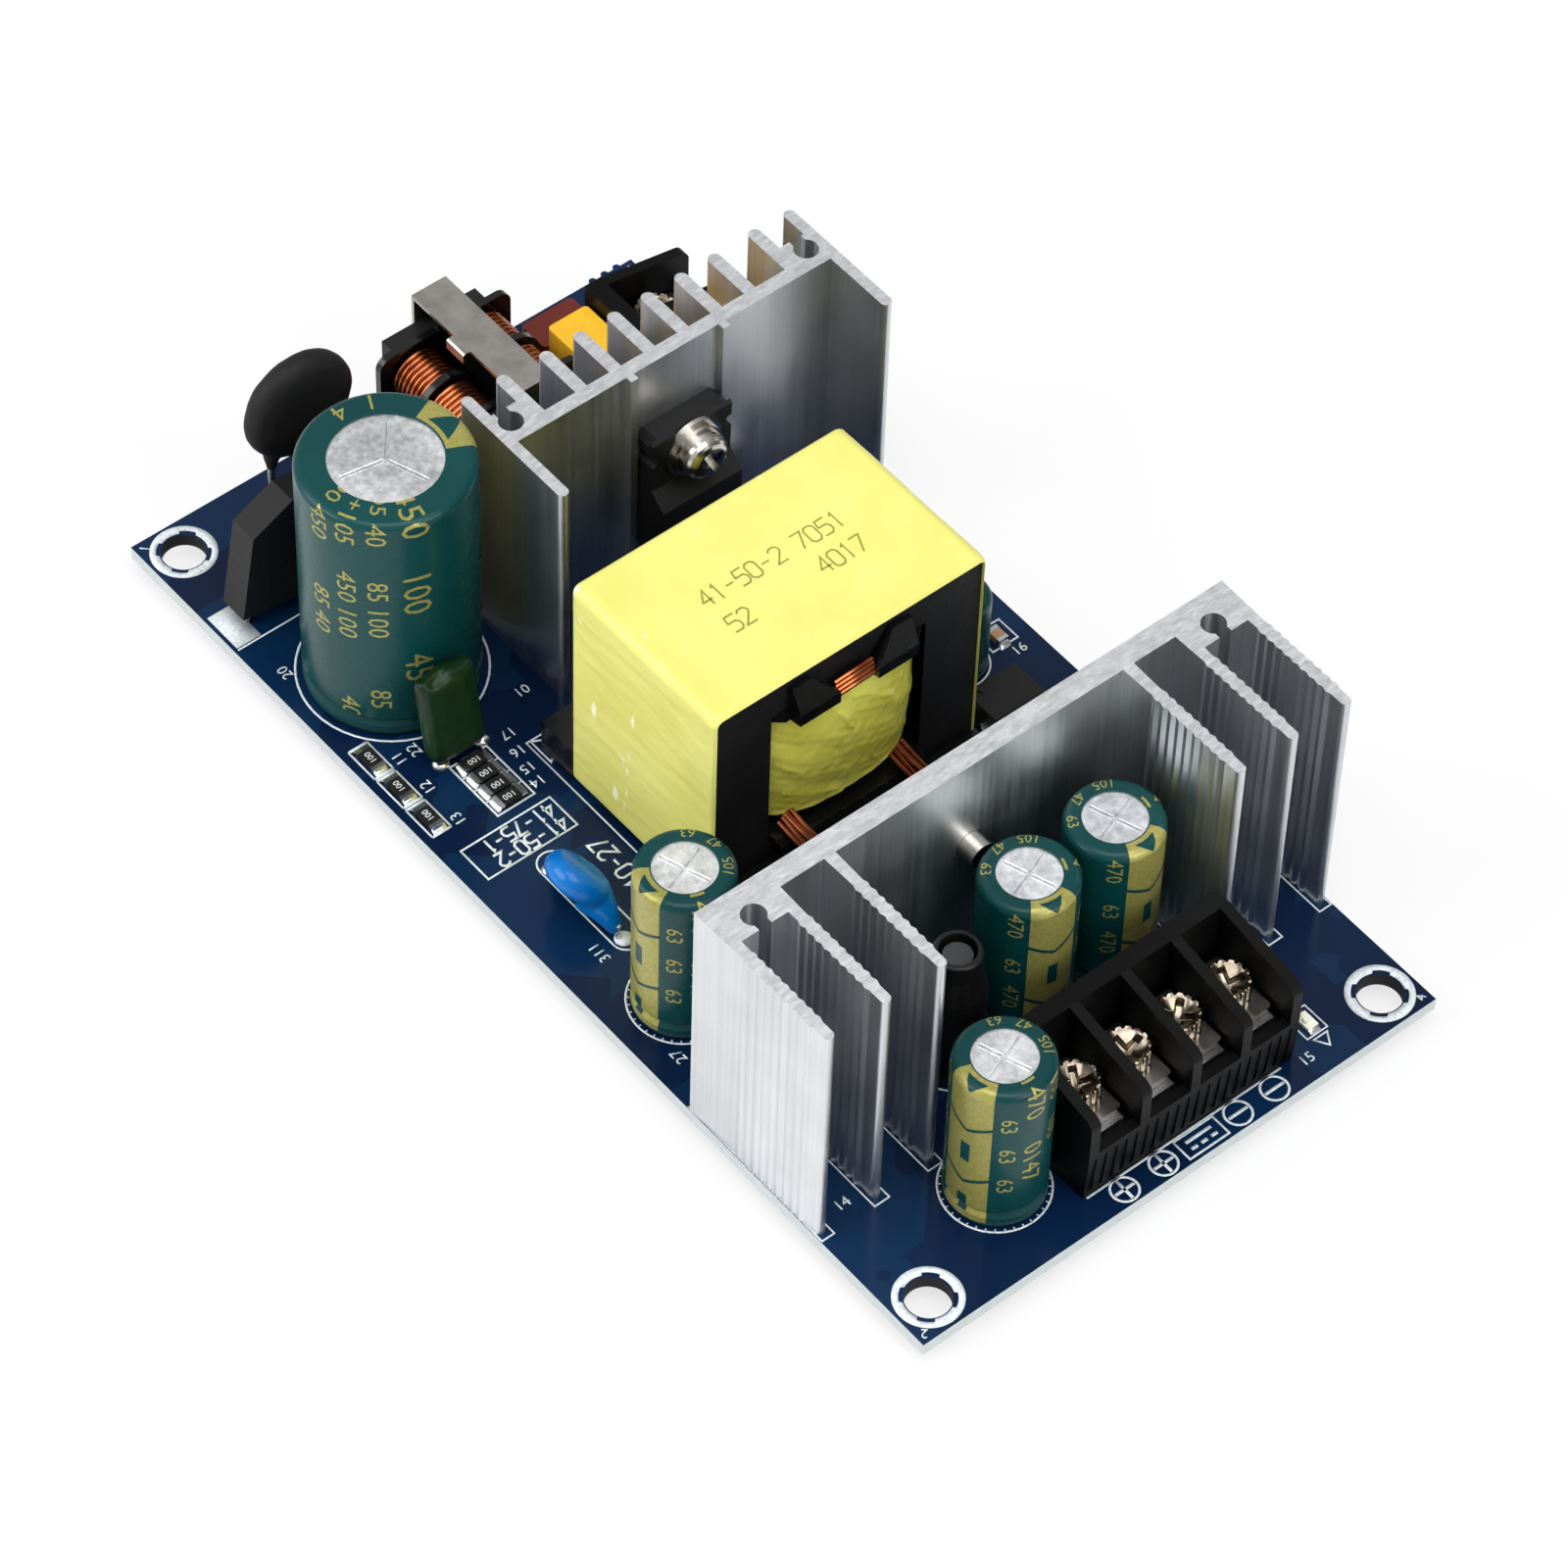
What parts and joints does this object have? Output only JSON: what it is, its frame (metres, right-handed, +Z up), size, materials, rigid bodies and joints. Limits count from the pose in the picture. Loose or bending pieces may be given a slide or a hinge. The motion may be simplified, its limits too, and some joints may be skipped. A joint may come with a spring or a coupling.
{
  "type": "open frame power supply",
  "caption": "Open frame switching power supply on a long circuit board, with finned heatsinks, a taped transformer and screw terminals at both ends.",
  "frame": {"origin": "middle of the four mounting holes, on the underside of the circuit board", "axes": "+X along the board from the input terminal's end to the output terminal's end, +Z up, away from the underside"},
  "size_m": [0.1254, 0.065, 0.035],
  "materials": {
    "board_blue": "glossy solder mask on glass-epoxy board",
    "sink_aluminium": "brushed extruded aluminium",
    "tinned_metal": "tinned copper",
    "ferrite_black": "matte black ferrite",
    "moulded_black": "matte black moulded plastic",
    "tape_yellow": "lemon yellow polyester tape",
    "winding_tape": "crinkled yellow tape",
    "copper_wire": "enamelled copper",
    "can_aluminium": "bare aluminium can",
    "sleeve_green": "dark green shrink sleeve with gold bands",
    "sleeve_black": "black shrink tube",
    "seal_rubber": "black rubber",
    "coating_black": "matte black coating",
    "package_black": "black moulding compound",
    "box_orange": "orange-yellow plastic box",
    "fuse_brown": "red-brown plastic",
    "coating_green": "dark green dipped coating",
    "coating_blue": "blue dipped coating",
    "nickel_steel": "nickel-plated steel",
    "clip_steel": "spring steel",
    "chip_ceramic": "brown ceramic",
    "lamp_white": "white lamp body with clear lens",
    "solder": "bright solder",
    "core_grey": "grey ferrite"
  },
  "bodies": {
    "root": {"circuit_board": "board_blue", "output_heatsink": "sink_aluminium", "input_heatsink": "sink_aluminium", "heatsink_pegs": "tinned_metal", "transformer_core_lower": "ferrite_black", "transformer_core_upper": "ferrite_black", "transformer_bobbin": "moulded_black", "transformer_winding": "winding_tape", "transformer_tape": "tape_yellow", "transformer_leads": "copper_wire", "transformer_pins": "tinned_metal", "bulk_capacitor_can": "can_aluminium", "bulk_capacitor_sleeve": "sleeve_green", "output_capacitor_cans": "can_aluminium", "output_capacitor_sleeves": "sleeve_green", "small_capacitor_cans": "can_aluminium", "small_capacitor_sleeves": "sleeve_green", "capacitor_seals": "seal_rubber", "capacitor_leads": "tinned_metal", "thermistor_disc": "coating_black", "thermistor_leads": "tinned_metal", "bridge_rectifier": "package_black", "bridge_rectifier_leads": "tinned_metal", "choke_core": "ferrite_black", "choke_bobbins": "moulded_black", "choke_windings": "copper_wire", "choke_base": "moulded_black", "choke_clip": "clip_steel", "choke_pins": "tinned_metal", "box_capacitor": "box_orange", "box_capacitor_leads": "tinned_metal", "fuse_body": "fuse_brown", "fuse_leads": "tinned_metal", "input_terminal_housing": "moulded_black", "output_terminal_housing": "moulded_black", "terminal_contacts": "tinned_metal", "terminal_clamp_plates": "nickel_steel", "terminal_screws": "nickel_steel", "film_capacitor": "coating_green", "film_capacitor_leads": "tinned_metal", "disc_capacitor": "coating_blue", "disc_capacitor_leads": "tinned_metal", "power_transistor": "package_black", "output_rectifier": "package_black", "power_package_leads": "tinned_metal", "power_package_washers": "nickel_steel", "power_package_screws": "nickel_steel", "optocoupler": "package_black", "optocoupler_legs": "tinned_metal", "chip_resistors": "package_black", "chip_capacitor": "chip_ceramic", "chip_end_caps": "tinned_metal", "indicator_lamp": "lamp_white", "rod_choke_core": "core_grey", "rod_choke_winding": "copper_wire", "rod_choke_sleeve": "sleeve_black", "controller_chip": "package_black", "controller_legs": "tinned_metal", "solder_joints": "solder"}
  },
  "joints": []
}
